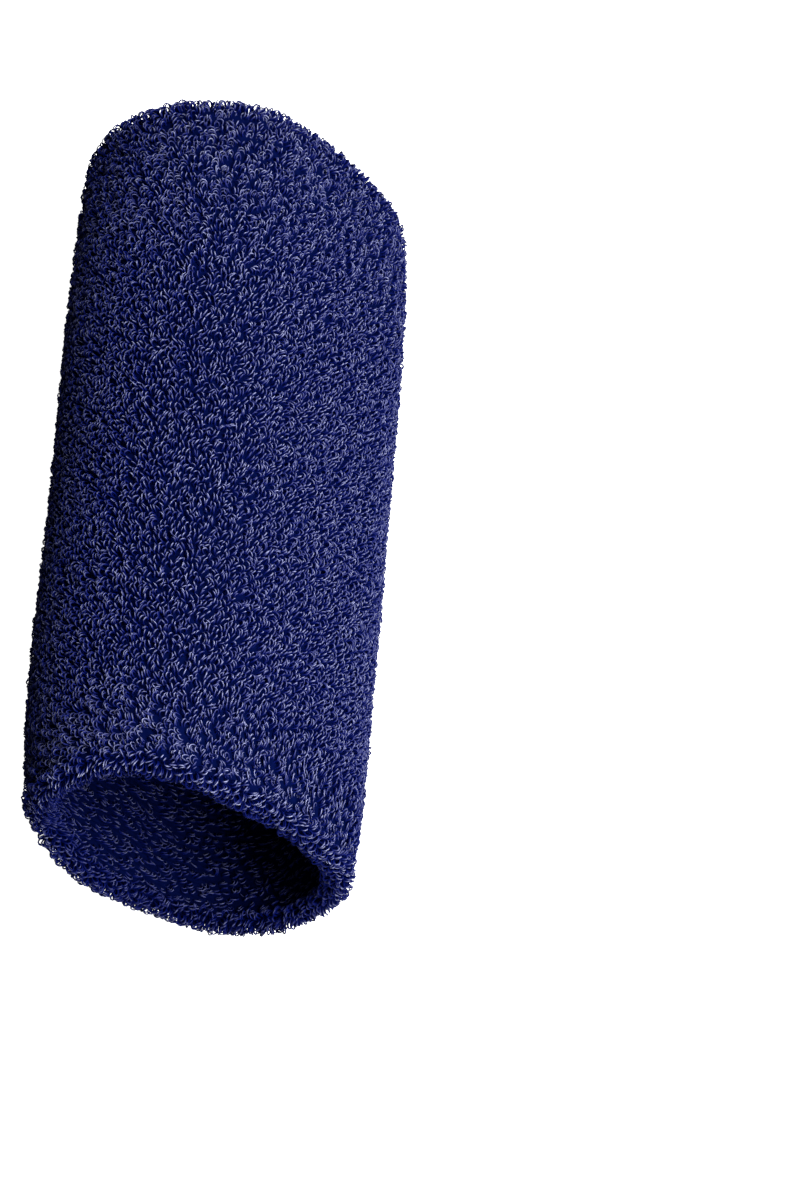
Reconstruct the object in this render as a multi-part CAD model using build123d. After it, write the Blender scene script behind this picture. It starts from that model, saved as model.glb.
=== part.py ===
"""A terry sweat wristband for racket sports, lying on its side.

The band is one long knitted tube, folded back inside itself so that the wall is two cloths thick. Each cloth is a
thin ground knit with terry loops standing on its outer face. The two grounds lie back to back with elastic threads
between them, both ends are soft folded rims, and the cut ends of the tube meet in a closing seam on the inner face.

Axes: Y runs through the wrist opening, from the near rim (-Y) to the far rim (+Y), X is the width and Z is up.
The origin is under the band's middle, on the surface that it lies on. All sizes are in millimetres.
"""
from build123d import *
import math
import os

# The soft tube's outer size as it settles on its side, measured over the terry loops.
BAND_LENGTH = 150.0
BAND_WIDTH = 72.0
BAND_HEIGHT = 50.0
REST_WIDTH = 16.0  # the flat strip that the band lies on
SIDE_RADIUS = 24.0  # the bend at each side of the oval
SIDE_HEIGHT = 25.0  # how high the centres of those bends are

# One wall, from the outside in: loops, ground knit, the gap that holds the elastic, ground knit, loops.
PILE_HEIGHT = 2.2
GROUND_THICKNESS = 0.7
ELASTIC_GAP = 0.6
OUTER_GROUND_DEPTH = PILE_HEIGHT
GAP_DEPTH = OUTER_GROUND_DEPTH + GROUND_THICKNESS
INNER_GROUND_DEPTH = GAP_DEPTH + ELASTIC_GAP
INNER_PILE_DEPTH = INNER_GROUND_DEPTH + GROUND_THICKNESS
WALL = INNER_PILE_DEPTH + PILE_HEIGHT
FOLD_Y = BAND_LENGTH / 2 - WALL / 2  # where the straight walls end and a rim's fold begins

THREAD_RADIUS = 0.25
THREAD_PITCH = 6.0  # between neighbouring turns of one cloth's elastic
THREADS_PER_SIDE = 11  # turns of the outer cloth's elastic on each side of the middle turn

SEAM_Y = 45.0  # towards the far rim
SEAM_WIDTH = 1.2  # the line of stitches between the two ends of the inner cloth
SEAM_DEPTH = WALL - 0.5  # the stitches sit a little below the tips of the inner loops
ALLOWANCE_WIDTH = 7.0  # the cut ends, turned flat inside the wall

# The oval's other arcs follow from its size: each arc meets the next one smoothly.
SIDE_X = BAND_WIDTH / 2 - SIDE_RADIUS
TOP_RISE = BAND_HEIGHT - SIDE_HEIGHT
TOP_RADIUS = (SIDE_X**2 + TOP_RISE**2 - SIDE_RADIUS**2) / (2 * (TOP_RISE - SIDE_RADIUS))
TOP_Z = BAND_HEIGHT - TOP_RADIUS
LOWER_X = REST_WIDTH / 2
LOWER_RUN = SIDE_X - LOWER_X
LOWER_RADIUS = (LOWER_RUN**2 + SIDE_HEIGHT**2 - SIDE_RADIUS**2) / (2 * (SIDE_HEIGHT - SIDE_RADIUS))
UPPER_ANGLE = math.degrees(math.atan2(SIDE_HEIGHT - TOP_Z, SIDE_X))
LOWER_ANGLE = math.degrees(math.atan2(SIDE_HEIGHT - LOWER_RADIUS, LOWER_RUN))


def oval_wire(depth):
    """The band's oval outline, this far in from the tips of the outer loops, drawn flat in X and Z."""
    side = SIDE_RADIUS - depth
    lower = LOWER_RADIUS - depth
    side_turn = UPPER_ANGLE - LOWER_ANGLE
    return Wire(
        [
            Line((-LOWER_X, depth), (LOWER_X, depth)),
            CenterArc((LOWER_X, LOWER_RADIUS), lower, -90, LOWER_ANGLE + 90),
            CenterArc((SIDE_X, SIDE_HEIGHT), side, LOWER_ANGLE, side_turn),
            CenterArc((0, TOP_Z), TOP_RADIUS - depth, UPPER_ANGLE, 180 - 2 * UPPER_ANGLE),
            CenterArc((-SIDE_X, SIDE_HEIGHT), side, 180 - UPPER_ANGLE, side_turn),
            CenterArc((-LOWER_X, LOWER_RADIUS), lower, 180 - LOWER_ANGLE, LOWER_ANGLE + 90),
        ]
    )


def across(y):
    """The plane across the band at y, with the oval's X and Z as its own two axes."""
    return Plane(origin=(0, y, 0), x_dir=(1, 0, 0), z_dir=(0, -1, 0))


def wall(outer_depth, inner_depth, y_start, y_end):
    """A straight length of one layer of the wall, between two depths."""
    ring = Face(oval_wire(outer_depth), [oval_wire(inner_depth)])
    return extrude(across(y_end) * ring, amount=y_end - y_start)


def rim(end, outer_radius, inner_radius):
    """One layer where it turns round a rim: half a tube's wall, carried round the oval. end is -1 near, 1 far."""
    path = across(end * FOLD_Y) * oval_wire(WALL / 2)
    start = path @ 0
    fold = Plane(origin=start, x_dir=(0, end, 0), z_dir=(1, 0, 0))
    ring = Circle(outer_radius) - Circle(inner_radius)
    outward = Rectangle(2 * outer_radius, 2 * outer_radius, align=(Align.MIN, Align.CENTER))
    return sweep(fold * (ring & outward), path=path)


def thread_turn(y):
    """One turn of elastic thread round the band, in the gap between the two ground knits."""
    path = across(y) * oval_wire(WALL / 2)
    section = Plane(origin=path @ 0, x_dir=(0, 1, 0), z_dir=(1, 0, 0)) * Circle(THREAD_RADIUS)
    return sweep(section, path=path)


def elastic_threads(shift):
    """The turns of one cloth's elastic as a group, moved along by shift so that the two cloths' turns alternate."""
    clear_of_seam = ALLOWANCE_WIDTH / 2 + 2 * THREAD_RADIUS
    places = [shift + THREAD_PITCH * step for step in range(-THREADS_PER_SIDE, THREADS_PER_SIDE + 1)]
    inside = [y for y in places if abs(y) < FOLD_Y - THREAD_RADIUS and abs(y - SEAM_Y) > clear_of_seam]
    return Compound([thread_turn(y) for y in inside])


def make_parts():
    """Every piece of the band by name."""
    ground_fold = WALL / 2 - PILE_HEIGHT
    gap_fold = ELASTIC_GAP / 2
    seam_near = SEAM_Y - SEAM_WIDTH / 2
    seam_far = SEAM_Y + SEAM_WIDTH / 2
    allowance_near = SEAM_Y - ALLOWANCE_WIDTH / 2
    allowance_far = SEAM_Y + ALLOWANCE_WIDTH / 2
    return {
        "outer_terry_face": wall(0, OUTER_GROUND_DEPTH, -FOLD_Y, FOLD_Y),
        "outer_ground_knit": wall(OUTER_GROUND_DEPTH, GAP_DEPTH, -FOLD_Y, FOLD_Y),
        "outer_elastic_threads": elastic_threads(0),
        "inner_elastic_threads": elastic_threads(THREAD_PITCH / 2),
        "inner_ground_near": wall(INNER_GROUND_DEPTH, INNER_PILE_DEPTH, -FOLD_Y, seam_near),
        "inner_ground_far": wall(INNER_GROUND_DEPTH, INNER_PILE_DEPTH, seam_far, FOLD_Y),
        "inner_terry_near": wall(INNER_PILE_DEPTH, WALL, -FOLD_Y, seam_near),
        "inner_terry_far": wall(INNER_PILE_DEPTH, WALL, seam_far, FOLD_Y),
        "near_rim_terry": rim(-1, WALL / 2, ground_fold),
        "near_rim_ground": rim(-1, ground_fold, gap_fold),
        "far_rim_terry": rim(1, WALL / 2, ground_fold),
        "far_rim_ground": rim(1, ground_fold, gap_fold),
        "seam_allowance": wall(GAP_DEPTH, INNER_GROUND_DEPTH, allowance_near, allowance_far),
        "seam_stitches": wall(INNER_GROUND_DEPTH, SEAM_DEPTH, seam_near, seam_far),
    }


os.makedirs("parts", exist_ok=True)
for name, piece in make_parts().items():
    export_step(piece, f"parts/{name}.step")
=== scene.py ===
"""A navy terry sweat wristband lying on a pale floor.

The cloth is built the way it is knitted: a thin ground knit, folded back inside itself, and on its outer face
thousands of separate terry loops, each one a small bent tube of yarn. Lengths are in metres.
"""
import math

import bpy
import numpy as np
from mathutils import Matrix, Vector


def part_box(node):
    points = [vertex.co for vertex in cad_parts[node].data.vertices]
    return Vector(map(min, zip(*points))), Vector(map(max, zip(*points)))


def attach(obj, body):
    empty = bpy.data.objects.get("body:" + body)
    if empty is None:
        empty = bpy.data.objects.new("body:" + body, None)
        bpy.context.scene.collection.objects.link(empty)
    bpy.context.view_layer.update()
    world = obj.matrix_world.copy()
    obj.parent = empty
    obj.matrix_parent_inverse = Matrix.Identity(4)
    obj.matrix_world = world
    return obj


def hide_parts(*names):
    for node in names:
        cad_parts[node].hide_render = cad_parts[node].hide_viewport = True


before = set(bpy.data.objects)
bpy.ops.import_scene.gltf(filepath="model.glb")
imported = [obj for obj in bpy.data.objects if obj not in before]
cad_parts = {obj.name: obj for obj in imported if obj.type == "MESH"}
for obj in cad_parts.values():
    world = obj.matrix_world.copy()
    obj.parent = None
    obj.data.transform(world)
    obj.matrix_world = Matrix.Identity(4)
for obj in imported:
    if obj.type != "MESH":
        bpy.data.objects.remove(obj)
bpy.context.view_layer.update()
rng = np.random.default_rng(11)
MM = 0.001

# The band's size, from the frame.
LOW, HIGH = (np.array(corner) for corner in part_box("outer_terry_face"))
FAR_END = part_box("far_rim_terry")[1][1]
FOLD_Y = HIGH[1]  # where the straight walls end and the rims' folds begin
WALL = 2 * (FAR_END - FOLD_Y)
WIDTH = HIGH[0] - LOW[0]
HEIGHT = HIGH[2] - LOW[2]
SEAM_Y = (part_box("seam_stitches")[0][1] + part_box("seam_stitches")[1][1]) / 2
SEAM_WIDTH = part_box("seam_stitches")[1][1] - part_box("seam_stitches")[0][1]

# The oval section's own choices, as in the CAD.
REST_WIDTH = 16.0 * MM
SIDE_RADIUS = 24.0 * MM
SIDE_HEIGHT = 25.0 * MM
PILE_HEIGHT = 2.2 * MM
GROUND_THICKNESS = 0.7 * MM
BED_HEIGHT = 0.8 * MM  # the crowded feet of the loops, which stand on the ground knit as one mat
FOLD_RADIUS = WALL / 2 - PILE_HEIGHT  # of the ground's outer face where it turns round a rim

# Camera: which way it looks at the band, and how far the band sits from the middle of the picture.
CAMERA_AZIMUTH = 51.7
CAMERA_ELEVATION = 33.8
CAMERA_ROLL = 70.4
CAMERA_DISTANCE = 1.060
CAMERA_LENS = 164.2
CAMERA_SENSOR = 36.0
BAND_ACROSS = -0.0357
BAND_UP = 0.0161
AIM_HEIGHT = 0.024  # of the point in the band that those distances are measured from


# ---- the oval section and the folded cloth ----

def oval_table(steps=400):
    """Points round the oval at the tips of the outer loops, and the direction that faces out at each."""
    side_x = WIDTH / 2 - SIDE_RADIUS
    rise = HEIGHT - SIDE_HEIGHT
    top_radius = (side_x**2 + rise**2 - SIDE_RADIUS**2) / (2 * (rise - SIDE_RADIUS))
    top_z = HEIGHT - top_radius
    lower_x = REST_WIDTH / 2
    run = side_x - lower_x
    lower_radius = (run**2 + SIDE_HEIGHT**2 - SIDE_RADIUS**2) / (2 * (SIDE_HEIGHT - SIDE_RADIUS))
    upper = math.atan2(SIDE_HEIGHT - top_z, side_x)
    lower = math.atan2(SIDE_HEIGHT - lower_radius, run)
    arcs = [
        (lower_x, lower_radius, lower_radius, -math.pi / 2, lower),
        (side_x, SIDE_HEIGHT, SIDE_RADIUS, lower, upper),
        (0.0, top_z, top_radius, upper, math.pi - upper),
        (-side_x, SIDE_HEIGHT, SIDE_RADIUS, math.pi - upper, math.pi - lower),
        (-lower_x, lower_radius, lower_radius, math.pi - lower, 1.5 * math.pi),
    ]
    points, normals = [], []
    for x, z, radius, begin, end in arcs:
        angle = np.linspace(begin, end, steps, endpoint=False)
        facing = np.stack([np.cos(angle), np.sin(angle)], 1)
        points.append(np.array([x, z]) + radius * facing)
        normals.append(facing)
    rest = np.linspace(-lower_x, lower_x, steps, endpoint=False)
    points.append(np.stack([rest, np.zeros(steps)], 1))
    normals.append(np.tile([0.0, -1.0], (steps, 1)))
    return np.concatenate(points), np.concatenate(normals)


OVAL, OVAL_NORMAL = oval_table()
_mid = OVAL - OVAL_NORMAL * WALL / 2
_closed = np.vstack([_mid, _mid[:1]])
_steps = np.linalg.norm(np.diff(_closed, axis=0), axis=1)
ROUND_LENGTH = float(_steps.sum())  # once round the middle of the wall
OVAL_SHARE = np.concatenate([[0.0], np.cumsum(_steps)]) / ROUND_LENGTH

STRAIGHT = 2 * FOLD_Y
FOLD_LENGTH = math.pi * FOLD_RADIUS


def at_oval(around):
    """The oval's outline, its outward direction and its direction of travel at a share of the way round."""
    share = np.mod(around, 1.0)
    def read(table):
        closed = np.vstack([table, table[:1]])
        return np.stack([np.interp(share, OVAL_SHARE, closed[:, k]) for k in (0, 1)], -1)
    outline, facing = read(OVAL), read(OVAL_NORMAL)
    facing /= np.linalg.norm(facing, axis=-1, keepdims=True)
    zero = np.zeros_like(share)
    point = np.stack([outline[..., 0], zero, outline[..., 1]], -1)
    normal = np.stack([facing[..., 0], zero, facing[..., 1]], -1)
    travel = np.stack([-facing[..., 1], zero, facing[..., 0]], -1)
    return point, normal, travel


def on_cloth(around, along):
    """Where the ground knit's outer face is, at a share of the way round and a distance along the cloth.

    along starts at the far fold on the outside, runs to the near rim, round it, back along the inside, and
    round the far rim. Returns the point, the way the loops stand, the way along the cloth and the way round.
    """
    outline, normal, travel = at_oval(around)
    s = np.mod(along, 2 * (STRAIGHT + FOLD_LENGTH))
    near_turn = np.clip((s - STRAIGHT) / FOLD_RADIUS, 0.0, math.pi)
    far_turn = np.clip((s - 2 * STRAIGHT - FOLD_LENGTH) / FOLD_RADIUS, 0.0, math.pi)
    turn = near_turn + far_turn
    out = np.minimum(s, STRAIGHT)
    back = np.clip(s - STRAIGHT - FOLD_LENGTH, 0.0, STRAIGHT)
    y = FOLD_Y - out + back - FOLD_RADIUS * np.sin(turn)
    depth = WALL / 2 - FOLD_RADIUS * np.cos(turn)
    y_way = np.zeros_like(outline)
    y_way[..., 1] = 1.0
    cos, sin = np.cos(turn)[..., None], np.sin(turn)[..., None]
    point = outline - normal * depth[..., None] + y_way * y[..., None]
    stand = normal * cos - y_way * sin
    forward = -y_way * cos - normal * sin
    return point, stand, forward, travel


# ---- materials ----

def node_material(name):
    """A new node material and its Principled shader."""
    material = bpy.data.materials.new(name)
    material.use_nodes = True
    return material, material.node_tree.nodes["Principled BSDF"]


def yarn_material(name, dark, light):
    """Soft-spun yarn: each loop has its own tone, its fibres vary along it, and its two plies twist. The
    light colour is a painted highlight along each strand's outward edge, scaled by the shade attribute.
    """
    material, shader = node_material(name)
    nodes, links = material.node_tree.nodes, material.node_tree.links
    shade = nodes.new("ShaderNodeAttribute")
    shade.attribute_name = "shade"
    coordinates = nodes.new("ShaderNodeTexCoord")
    fibre = nodes.new("ShaderNodeTexNoise")
    fibre.inputs["Scale"].default_value = 1800.0
    fibre.inputs["Detail"].default_value = 3.0
    links.new(coordinates.outputs["Object"], fibre.inputs["Vector"])
    # Painted highlight: the strand's outward side, raised to a power, makes a thin bright line along its
    # crown.
    outward = nodes.new("ShaderNodeAttribute")
    outward.attribute_name = "outward"
    painted_light = nodes.new("ShaderNodeMath")
    painted_light.operation = "POWER"
    painted_light.inputs[1].default_value = 3.4
    links.new(outward.outputs["Fac"], painted_light.inputs[0])
    painted_light_level = nodes.new("ShaderNodeMath")
    painted_light_level.operation = "MULTIPLY"
    links.new(painted_light.outputs[0], painted_light_level.inputs[0])
    links.new(shade.outputs["Fac"], painted_light_level.inputs[1])
    both = nodes.new("ShaderNodeMath")
    both.operation = "MULTIPLY"
    links.new(fibre.outputs["Fac"], both.inputs[0])
    links.new(painted_light_level.outputs[0], both.inputs[1])
    ramp = nodes.new("ShaderNodeValToRGB")
    ramp.color_ramp.elements[0].position = 0.0
    ramp.color_ramp.elements[0].color = (*dark, 1.0)
    ramp.color_ramp.elements[1].position = 0.55
    ramp.color_ramp.elements[1].color = (*light, 1.0)
    links.new(both.outputs[0], ramp.inputs["Fac"])
    links.new(ramp.outputs["Color"], shader.inputs["Base Color"])
    plies = nodes.new("ShaderNodeTexWave")
    plies.bands_direction = "DIAGONAL"
    plies.inputs["Scale"].default_value = 0.6
    twist = nodes.new("ShaderNodeUVMap")
    twist.uv_map = "yarn"
    links.new(twist.outputs["UV"], plies.inputs["Vector"])
    bump = nodes.new("ShaderNodeBump")
    bump.inputs["Strength"].default_value = 0.15
    bump.inputs["Distance"].default_value = 0.05 * MM
    links.new(plies.outputs["Fac"], bump.inputs["Height"])
    links.new(bump.outputs["Normal"], shader.inputs["Normal"])
    shader.inputs["Roughness"].default_value = 0.55
    shader.inputs["Specular IOR Level"].default_value = 0.08
    return material


def knit_material(name, colour):
    """The flat ground knit: fine courses of stitches in a dark colour, mottled."""
    material, shader = node_material(name)
    nodes, links = material.node_tree.nodes, material.node_tree.links
    coordinates = nodes.new("ShaderNodeTexCoord")
    mottle = nodes.new("ShaderNodeTexNoise")
    mottle.inputs["Scale"].default_value = 900.0
    links.new(coordinates.outputs["Object"], mottle.inputs["Vector"])
    ramp = nodes.new("ShaderNodeValToRGB")
    ramp.color_ramp.elements[0].color = (*(c * 0.6 for c in colour), 1.0)
    ramp.color_ramp.elements[1].color = (*(c * 1.5 for c in colour), 1.0)
    links.new(mottle.outputs["Fac"], ramp.inputs["Fac"])
    links.new(ramp.outputs["Color"], shader.inputs["Base Color"])
    courses = nodes.new("ShaderNodeTexWave")
    courses.bands_direction = "Y"
    courses.inputs["Scale"].default_value = 300.0
    courses.inputs["Distortion"].default_value = 2.0
    links.new(coordinates.outputs["Object"], courses.inputs["Vector"])
    bump = nodes.new("ShaderNodeBump")
    bump.inputs["Strength"].default_value = 0.6
    bump.inputs["Distance"].default_value = 0.1 * MM
    links.new(courses.outputs["Fac"], bump.inputs["Height"])
    links.new(bump.outputs["Normal"], shader.inputs["Normal"])
    shader.inputs["Roughness"].default_value = 0.95
    shader.inputs["Specular IOR Level"].default_value = 0.0
    return material


# The second colour of each yarn is a painted highlight, given to the outer edge of the strands.
TERRY = yarn_material("terry_yarn", (0.0015, 0.0060, 0.110), (0.66, 0.70, 1.00))
THREAD = yarn_material("seam_thread", (0.0012, 0.003, 0.050), (0.060, 0.070, 0.200))
# Darker than the terry yarn: painted shade where the ground shows between the loops.
KNIT = knit_material("ground_knit", (0.0012, 0.0035, 0.038))
ELASTIC = knit_material("covered_elastic", (0.006, 0.007, 0.020))


# ---- yarn as tubes ----

def tube_mesh(name, path, side, out, radius, sides, shade, material):
    """One mesh of many tubes.

    path is loops x points x 3, side a direction across each tube, out the way that faces off the cloth, and
    shade the tone along each tube, with its painted shade and light. The material reads the outward attribute
    too, to paint a highlight along each tube's outer edge, the only place where the full tone shows.
    """
    count, points = path.shape[:2]
    ahead = np.gradient(path, axis=1)
    ahead /= np.linalg.norm(ahead, axis=2, keepdims=True)
    across = side - ahead * (side * ahead).sum(2, keepdims=True)
    across /= np.linalg.norm(across, axis=2, keepdims=True)
    third = np.cross(ahead, across)
    step = np.linalg.norm(np.diff(path, axis=1), axis=2)
    run = np.concatenate([np.zeros((count, 1)), np.cumsum(step, axis=1)], axis=1)
    angle = np.arange(sides) * 2 * math.pi / sides - math.pi / 2
    ply = 1.0 + 0.16 * np.cos(2 * angle[None, None, :] - run[:, :, None] * 2 * math.pi / (1.6 * MM))
    reach = radius[:, :, None] * ply
    ring = (
        path[:, :, None, :]
        + (reach * np.cos(angle))[..., None] * across[:, :, None, :]
        + (reach * np.sin(angle))[..., None] * third[:, :, None, :]
    )
    vertices = settled(ring.reshape(-1, 3))
    outside = ((ring - path[:, :, None, :]) * out[:, None, None, :]).sum(3) / reach
    row, column = np.arange(points - 1)[:, None], np.arange(sides)[None, :]
    beside = (column + 1) % sides
    this_row, next_row = row * sides, (row + 1) * sides
    corner_rows = [this_row + column, this_row + beside, next_row + beside, next_row + column]
    quads = np.stack(corner_rows, -1).reshape(-1, 4)
    starts = (np.arange(count) * points * sides)[:, None, None]
    quads = (quads[None] + starts).reshape(-1)
    caps = np.stack([np.arange(sides)[::-1], (points - 1) * sides + np.arange(sides)])
    caps = (caps[None] + starts).reshape(-1)
    corners = np.concatenate([quads, caps]).astype(np.int32)
    quad_count, cap_count = len(quads) // 4, len(caps) // sides
    begin = np.concatenate([np.arange(quad_count) * 4, quad_count * 4 + np.arange(cap_count) * sides])
    mesh = bpy.data.meshes.new(name)
    mesh.vertices.add(len(vertices))
    mesh.vertices.foreach_set("co", vertices.astype(np.float32).ravel())
    mesh.loops.add(len(corners))
    mesh.loops.foreach_set("vertex_index", corners)
    mesh.polygons.add(len(begin))
    mesh.polygons.foreach_set("loop_start", begin.astype(np.int32))
    mesh.update(calc_edges=True)
    mesh.shade_smooth()
    tone = mesh.attributes.new("shade", "FLOAT", "POINT")
    tone.data.foreach_set("value", np.repeat(shade, sides, axis=1).ravel().astype(np.float32))
    outward = mesh.attributes.new("outward", "FLOAT", "POINT")
    outward.data.foreach_set("value", outside.clip(0.0, 1.0).ravel().astype(np.float32))
    lengthwise = np.repeat(run / MM, sides, axis=1).ravel()
    round_it = np.tile(angle / math.pi, count * points)
    yarn = mesh.uv_layers.new(name="yarn")
    places = np.stack([lengthwise[corners], round_it[corners]], 1)
    yarn.data.foreach_set("uv", places.astype(np.float32).ravel())
    mesh.materials.append(material)
    piece = bpy.data.objects.new(name, mesh)
    bpy.context.scene.collection.objects.link(piece)
    return piece


def bulge(turn, centre, width):
    """1 at one angle round the band, falling away within about its width, both in degrees."""
    off = (np.degrees(turn) - centre + 180.0) % 360.0 - 180.0
    return np.exp(-(off / width) ** 2)


def settled(points):
    """The soft cloth's shape: not quite a true oval, with rims that aren't level, resting on the floor."""
    x, y, z = points.T
    turn = np.arctan2(z - HEIGHT / 2, x)
    free = np.clip(z / (8 * MM), 0.0, 1.0)
    end = np.abs(y) / FOLD_Y
    barrel = 1.5 + 1.6 * np.clip(y / FOLD_Y, 0.0, 1.0) - 2.2 * end.clip(0.0, 1.05) ** 6
    swell = 0.3 * np.sin(2 * turn + 31 * y) + 0.25 * np.sin(3 * turn - 52 * y + 1.3)
    swell += 0.2 * np.sin(90 * y + 5 * turn)
    at_rim = np.clip(end, 0.0, 1.05) ** 6 * np.sign(y)
    wave = 0.3 * np.sin(5 * turn + 40 * y) + 0.2 * np.sin(3 * turn + 2.0)
    near_edge = 0.8 * bulge(turn, 270, 30) - 2.0 * bulge(turn, 223, 18)
    far_edge = 0.5 + 1.4 * bulge(turn, 105, 40) - 2.4 * bulge(turn, 203, 18)
    wave += np.where(y < 0, near_edge, far_edge)
    out = np.stack([np.cos(turn), np.zeros_like(turn), np.sin(turn)], 1)
    moved = points + out * (0.6 * MM * (swell + barrel) * free)[:, None]
    moved[:, 1] += MM * wave * at_rim
    moved[:, 2] = np.maximum(moved[:, 2], 0.0)
    return moved


def loop_paths(around, along, look, points):
    """Centrelines of terry loops, each standing on the ground knit at its place.

    look holds, for every loop: height, half width, the turn of its plane from the band's length, how far it
    leans over sideways, how far it leans along, how far its head twists round, and how far it stands from the
    stitch's middle.
    """
    root, stand, forward, travel = on_cloth(around, along)
    plane_cos, plane_sin = np.cos(look["plane"])[:, None], np.sin(look["plane"])[:, None]
    broad = forward * plane_cos + travel * plane_sin
    thin = -forward * plane_sin + travel * plane_cos
    t = np.linspace(0.0, 1.0, points)[None, :]
    rise = np.sin(math.pi * t) ** 0.8
    swing = -np.cos(math.pi * t) * (0.4 + 1.15 * np.sin(math.pi * t))
    height, half = look["height"][:, None] * rise, look["half"][:, None] * swing
    twist = look["twist"][:, None] * rise
    lean = look["lean"][:, None] * (0.35 + 0.65 * rise)
    tip = look["tip"][:, None] * rise
    up = height * np.cos(lean) * np.cos(tip)
    sideways = height * np.sin(lean) + half * np.sin(twist)
    lengthways = half * np.cos(twist) + height * np.sin(tip)
    path = (
        root[:, None, :]
        + stand[:, None, :] * (up - 0.3 * MM)[..., None]
        + broad[:, None, :] * lengthways[..., None]
        + thin[:, None, :] * (sideways + look["shift"][:, None])[..., None]
    )
    facing = thin[:, None, :] * np.cos(twist)[..., None] - broad[:, None, :] * np.sin(twist)[..., None]
    return path, facing, stand


def sow(rows, columns, first, pitch, jitter=0.18):
    """Places for loops: a knitted grid with every second course half a stitch over, each a little off."""
    row, column = np.meshgrid(np.arange(rows), np.arange(columns), indexing="ij")
    around = (column + 0.5 * (row % 2) + rng.uniform(-jitter, jitter, row.shape)) / columns
    along = first + (row + 0.5 + rng.uniform(-jitter, jitter, row.shape)) * pitch
    return np.stack([around.ravel(), along.ravel(), column.ravel()])


def terry_look(wale, openness, turned, lean):
    """How each loop stands. openness, from 0 to 1, turns upright loops into wide curls that show their eye.

    The two loops of a stitch stand side by side and lean alike, and where they open out one curls inside
    the other. Upright loops slant to one side or the other of the band's length. Open ones are turned from it
    by an angle turned, and their heads lie over by lean.
    """
    stitches = len(wale)
    flip = rng.random(stitches) < np.where(wale % 2 == 0, 0.12, 0.38)
    slant = np.where(wale % 2 == 0, 1.0, -1.0) * np.where(flip, -1.0, 1.0) * math.radians(28)
    look = {
        "height": 2.25 - 0.15 * openness + rng.normal(0, 0.12, stitches) * (1 + openness),
        "half": 0.64 + 0.08 * openness + rng.normal(0, 0.08, stitches),
        "plane": slant * (1 - openness) + turned * openness + rng.normal(0, math.radians(10), stitches),
        "lean": lean * openness + rng.normal(0, 0.14, stitches),
        "tip": rng.normal(0.0, 0.1, stitches),
        "twist": rng.normal(0, 0.2, stitches),
        "shift": np.zeros(stitches),
    }
    look = {part: np.repeat(values, 2) for part, values in look.items()}
    side = np.tile([-1.0, 1.0], stitches)
    open_pair = np.repeat(openness, 2)
    count = 2 * stitches
    look["height"] += rng.normal(0, 0.08, count) + 0.2 * open_pair * side
    look["half"] += rng.normal(0, 0.05, count) + 0.15 * open_pair * side
    look["plane"] += rng.normal(0, math.radians(6), count)
    look["lean"] += rng.normal(0, 0.08, count)
    look["tip"] += rng.normal(0, 0.08, count)
    look["twist"] += rng.normal(0, 0.15, count)
    look["shift"] += side * (0.36 - 0.2 * open_pair) + rng.normal(0, 0.05, count)
    for part, low, high in (("height", 1.5, 3.3), ("half", 0.3, 1.5), ("shift", -0.6, 0.6)):
        look[part] = look[part].clip(low, high) * MM
    return look


def terry_piece(name, places, openness, turned, lean, points, sides, node, painted_light, yarn=0.155, taller=0.0):
    """One stretch of pile as a mesh that stands for a CAD node."""
    around, along, wale = places
    look = terry_look(wale, openness, turned, lean)
    look["height"] += taller * MM
    path, facing, out = loop_paths(np.repeat(around, 2), np.repeat(along, 2), look, points)
    # Each loop's own random tone, times the painted light level passed in: painted shade for loops inside the
    # band, painted light at the rims' edges.
    tone = np.repeat(painted_light, 2) * (0.2 + 0.8 * rng.random(len(path)) ** 1.4)
    # Painted shade and light along the loop: darker towards its feet, lighter at its crown.
    rise = np.sin(np.linspace(0.0, math.pi, points)) ** 2
    shade = tone[:, None] * (0.08 + 0.92 * rise[None, :])
    radius = np.repeat((yarn * MM * rng.normal(1.0, 0.08, len(path)))[:, None], points, axis=1)
    piece = tube_mesh(name, path, facing, out, radius, sides, shade, TERRY)
    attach(piece, "root")
    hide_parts(node)
    return piece


def make_outer_terry():
    rows, columns, parts = 112, 144, 16
    places = sow(rows, columns, 0.0, STRAIGHT / rows)
    to_far, to_near = places[1], STRAIGHT - places[1]
    near = to_near < to_far
    openness = np.where(near, 1.0 - to_near / (20 * MM), 1.0 - to_far / (50 * MM)).clip(0.0, 1.0)
    openness *= rng.random(rows * columns) < np.where(near, 0.7, 0.45)
    turned = np.where(near, 0.1, 1.5)
    lean = np.full(rows * columns, 1.0)
    # The outer loops get the full painted highlight.
    painted_light_level = np.ones(rows * columns)
    made = []
    for part, chosen in enumerate(np.array_split(np.arange(rows * columns), parts)):
        name = f"outer_terry_{part + 1:02d}"
        stretch = places[:, chosen], openness[chosen], turned[chosen], lean[chosen]
        made.append(terry_piece(name, *stretch, 9, 5, "outer_terry_face", painted_light_level[chosen]))
    return made


def make_inner_terry():
    rows, columns = 92, 92
    start = STRAIGHT + FOLD_LENGTH
    places = sow(rows, columns, start, STRAIGHT / rows)
    y = places[1] - start - FOLD_Y
    keep = np.abs(y - SEAM_Y) > SEAM_WIDTH / 2 + 0.3 * MM
    places, y = places[:, keep], y[keep]
    openness = rng.uniform(0.5, 1.0, len(y))
    turned, lean = np.full(len(y), 1.4), np.full(len(y), 0.8)
    # Painted shade inside the band: the inner loops get less than half the painted highlight.
    painted_light_level = np.full(len(y), 0.45)
    near = np.array_split(np.flatnonzero(y < SEAM_Y), 6)
    far = np.array_split(np.flatnonzero(y > SEAM_Y), 2)
    made = []
    for end, stretches in (("near", near), ("far", far)):
        for part, chosen in enumerate(stretches):
            name = f"inner_terry_{end}_{part + 1:02d}"
            stretch = places[:, chosen], openness[chosen], turned[chosen], lean[chosen]
            made.append(terry_piece(name, *stretch, 8, 5, f"inner_terry_{end}", painted_light_level[chosen]))
    return made


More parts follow.
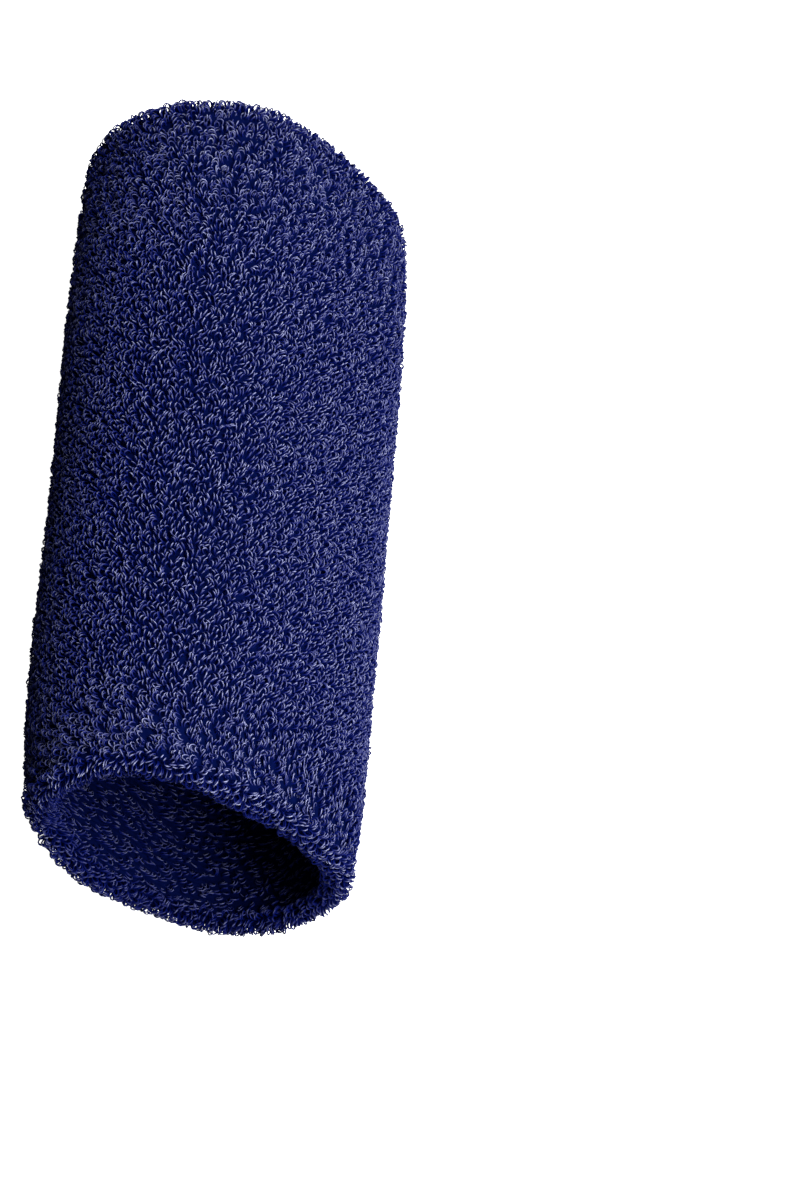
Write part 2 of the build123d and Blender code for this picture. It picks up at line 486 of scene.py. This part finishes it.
def make_rim_terry(end, first):
    rows, columns = 6, 138
    places = sow(rows, columns, first, FOLD_LENGTH / rows)
    turned_in = (places[1] - first) / FOLD_LENGTH
    if end == "far":
        turned_in = 1 - turned_in
    # Painted light and shade round the fold: brightest where the rim turns in, darker over its inner half.
    painted_light_level = np.interp(turned_in, [0.0, 0.2, 0.38, 0.5, 1.0], [1.0, 1.2, 2.0, 0.5, 0.3])
    openness = rng.uniform(0.2, 0.7, rows * columns)
    lean = rng.uniform(-0.3, 0.3, rows * columns)
    turned = np.full(rows * columns, 1.4)
    return terry_piece(
        f"{end}_rim_terry_loops", places, openness, turned, lean, 10, 5, f"{end}_rim_terry", painted_light_level, taller=0.35
    )


outer_terry = make_outer_terry()
inner_terry = make_inner_terry()
near_rim = make_rim_terry("near", STRAIGHT)
far_rim = make_rim_terry("far", 2 * STRAIGHT + FOLD_LENGTH)


# ---- the ground knit, its seam and its elastic ----

def make_ground():
    """The knitted tube that holds the loops: one cloth, doubled, with its two cut ends at the seam."""
    around_steps, along_steps = 132, 240
    whole = 2 * (STRAIGHT + FOLD_LENGTH)
    seam = STRAIGHT + FOLD_LENGTH + FOLD_Y + SEAM_Y
    gap = 0.2 * MM
    along = seam + gap + np.linspace(0.0, whole - 2 * gap, along_steps)
    around = np.arange(around_steps) / around_steps
    share, distance = np.meshgrid(around, along)
    face, stand, _, _ = on_cloth(share.ravel(), distance.ravel())
    back = face - stand * GROUND_THICKNESS
    face = face + stand * BED_HEIGHT
    count = around_steps * along_steps
    vertices = settled(np.concatenate([face, back]))
    faces = []
    for i in range(along_steps - 1):
        for j in range(around_steps):
            k = (j + 1) % around_steps
            a, b = i * around_steps + j, i * around_steps + k
            c, d = a + around_steps, b + around_steps
            faces.append((a, c, d, b))
            faces.append((a + count, b + count, d + count, c + count))
    last = (along_steps - 1) * around_steps
    for j in range(around_steps):
        k = (j + 1) % around_steps
        faces.append((j, k, k + count, j + count))
        faces.append((last + k, last + j, last + j + count, last + k + count))
    mesh = bpy.data.meshes.new("ground_knit")
    mesh.from_pydata(vertices.tolist(), [], faces)
    mesh.shade_smooth()
    mesh.materials.append(KNIT)
    piece = bpy.data.objects.new("ground_knit", mesh)
    bpy.context.scene.collection.objects.link(piece)
    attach(piece, "root")
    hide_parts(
        "outer_ground_knit", "inner_ground_near", "inner_ground_far", "near_rim_ground", "far_rim_ground"
    )
    return piece


def make_seam():
    """The overlocked thread over the seam: a zigzag round the inside of the band."""
    stitches = 104
    turns = np.arange(stitches * 4 + 1) / (stitches * 4)
    seam = STRAIGHT + FOLD_LENGTH + FOLD_Y + SEAM_Y
    swing = 1.1 * MM * np.sin(turns * stitches * 2 * math.pi)
    root, stand, forward, _ = on_cloth(turns, np.full(len(turns), seam))
    lift = BED_HEIGHT + (0.45 + 0.3 * np.cos(turns * stitches * 4 * math.pi)) * MM
    path = root + stand * lift[:, None] + forward * swing[:, None]
    radius = np.full((1, len(turns)), 0.16 * MM)
    # The seam thread gets half the painted highlight along its outer edge.
    tone = np.full((1, len(turns)), 0.5)
    piece = tube_mesh("seam_overlock", path[None], stand[None], stand.mean(0)[None], radius, 6, tone, THREAD)
    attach(piece, "root")
    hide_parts("seam_stitches")
    return piece


make_ground()
make_seam()
for node, material in (
    ("outer_elastic_threads", ELASTIC), ("inner_elastic_threads", ELASTIC), ("seam_allowance", KNIT),
):
    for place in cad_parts[node].material_slots:
        place.material = material


# ---- floor, light and camera ----

def make_floor():
    mesh = bpy.data.meshes.new("floor")
    half = 4.0
    corners = [(-half, -half, 0), (half, -half, 0), (half, half, 0), (-half, half, 0)]
    mesh.from_pydata(corners, [], [(0, 1, 2, 3)])
    floor = bpy.data.objects.new("floor", mesh)
    bpy.context.scene.collection.objects.link(floor)
    material, shader = node_material("pale_floor")
    shader.inputs["Base Color"].default_value = (0.80, 0.80, 0.80, 1.0)
    shader.inputs["Roughness"].default_value = 0.9
    mesh.materials.append(material)
    floor.visible_diffuse = False
    floor.visible_glossy = False


def make_light(name, place, target, size, power, width=None):
    """A round lamp, or a strip as long as its size and as wide as its width."""
    light = bpy.data.lights.new(name, "AREA")
    light.shape = "RECTANGLE" if width else "DISK"
    light.size = size
    light.size_y = width or size
    light.energy = power
    lamp = bpy.data.objects.new(name, light)
    lamp.location = place
    lamp.rotation_euler = (Vector(target) - Vector(place)).to_track_quat("-Z", "Y").to_euler()
    bpy.context.scene.collection.objects.link(lamp)
    return lamp


def light_only_the_floor(lamp):
    """Keeps a lamp off the band, and the band's shadow off the floor under it."""
    floor_only = bpy.data.collections.new("lit_by_floor_wash")
    floor_only.objects.link(bpy.data.objects["floor"])
    lamp.light_linking.receiver_collection = floor_only
    lamp.light_linking.blocker_collection = floor_only


def make_world():
    """A soft white dome that gives almost nothing from low down, and is plain white where it is seen."""
    world = bpy.data.worlds.new("studio")
    bpy.context.scene.world = world
    world.use_nodes = True
    nodes, links = world.node_tree.nodes, world.node_tree.links
    direction = nodes.new("ShaderNodeTexCoord")
    parts = nodes.new("ShaderNodeSeparateXYZ")
    links.new(direction.outputs["Generated"], parts.inputs["Vector"])
    horizon = nodes.new("ShaderNodeMapRange")
    horizon.inputs["From Min"].default_value = 0.30
    horizon.inputs["From Max"].default_value = 1.0
    horizon.inputs["To Min"].default_value = 0.02
    horizon.inputs["To Max"].default_value = 0.65
    links.new(parts.outputs["Z"], horizon.inputs["Value"])
    seen = nodes.new("ShaderNodeLightPath")
    backdrop = nodes.new("ShaderNodeMath")
    backdrop.operation = "MAXIMUM"
    links.new(horizon.outputs["Result"], backdrop.inputs[0])
    links.new(seen.outputs["Is Camera Ray"], backdrop.inputs[1])
    links.new(backdrop.outputs[0], nodes["Background"].inputs["Strength"])
    nodes["Background"].inputs["Color"].default_value = (1.0, 1.0, 1.0, 1.0)


def make_camera():
    azimuth, elevation = math.radians(CAMERA_AZIMUTH), math.radians(CAMERA_ELEVATION)
    level_part = math.cos(elevation)
    look = Vector((math.sin(azimuth) * level_part, math.cos(azimuth) * level_part, -math.sin(elevation)))
    level = Vector((math.cos(azimuth), -math.sin(azimuth), 0.0))
    turn = Matrix.Rotation(math.radians(-CAMERA_ROLL), 3, look)
    right = turn @ level
    up = right.cross(look)
    camera = bpy.data.objects.new("camera", bpy.data.cameras.new("camera"))
    camera.data.lens = CAMERA_LENS
    camera.data.sensor_width = CAMERA_SENSOR
    camera.data.clip_start = 0.05
    camera.data.clip_end = 20.0
    middle = Vector((0.0, 0.0, AIM_HEIGHT))
    place = middle - look * CAMERA_DISTANCE - right * BAND_ACROSS - up * BAND_UP
    facing = Matrix((right, up, -look)).transposed().to_4x4()
    camera.matrix_world = Matrix.Translation(place) @ facing
    bpy.context.scene.collection.objects.link(camera)
    bpy.context.scene.camera = camera


make_floor()
make_world()
make_light("key", (-0.26, -0.62, 1.27), (0.0, -0.48, 0.02), 3.0, 47.0, width=0.4)
make_light("far_side_fill", (1.3, 0.10, 0.16), (0.0, 0.0, 0.02), 0.6, 5.0)
make_light("opening_card", (-0.12, -1.5, 0.18), (0.0, 0.0, 0.02), 0.7, 3.0)
light_only_the_floor(make_light("floor_wash", (0.0, 0.0, 3.0), (0.0, 0.0, 0.0), 3.0, 170.0))
make_camera()
bpy.context.scene.view_settings.view_transform = "Standard"
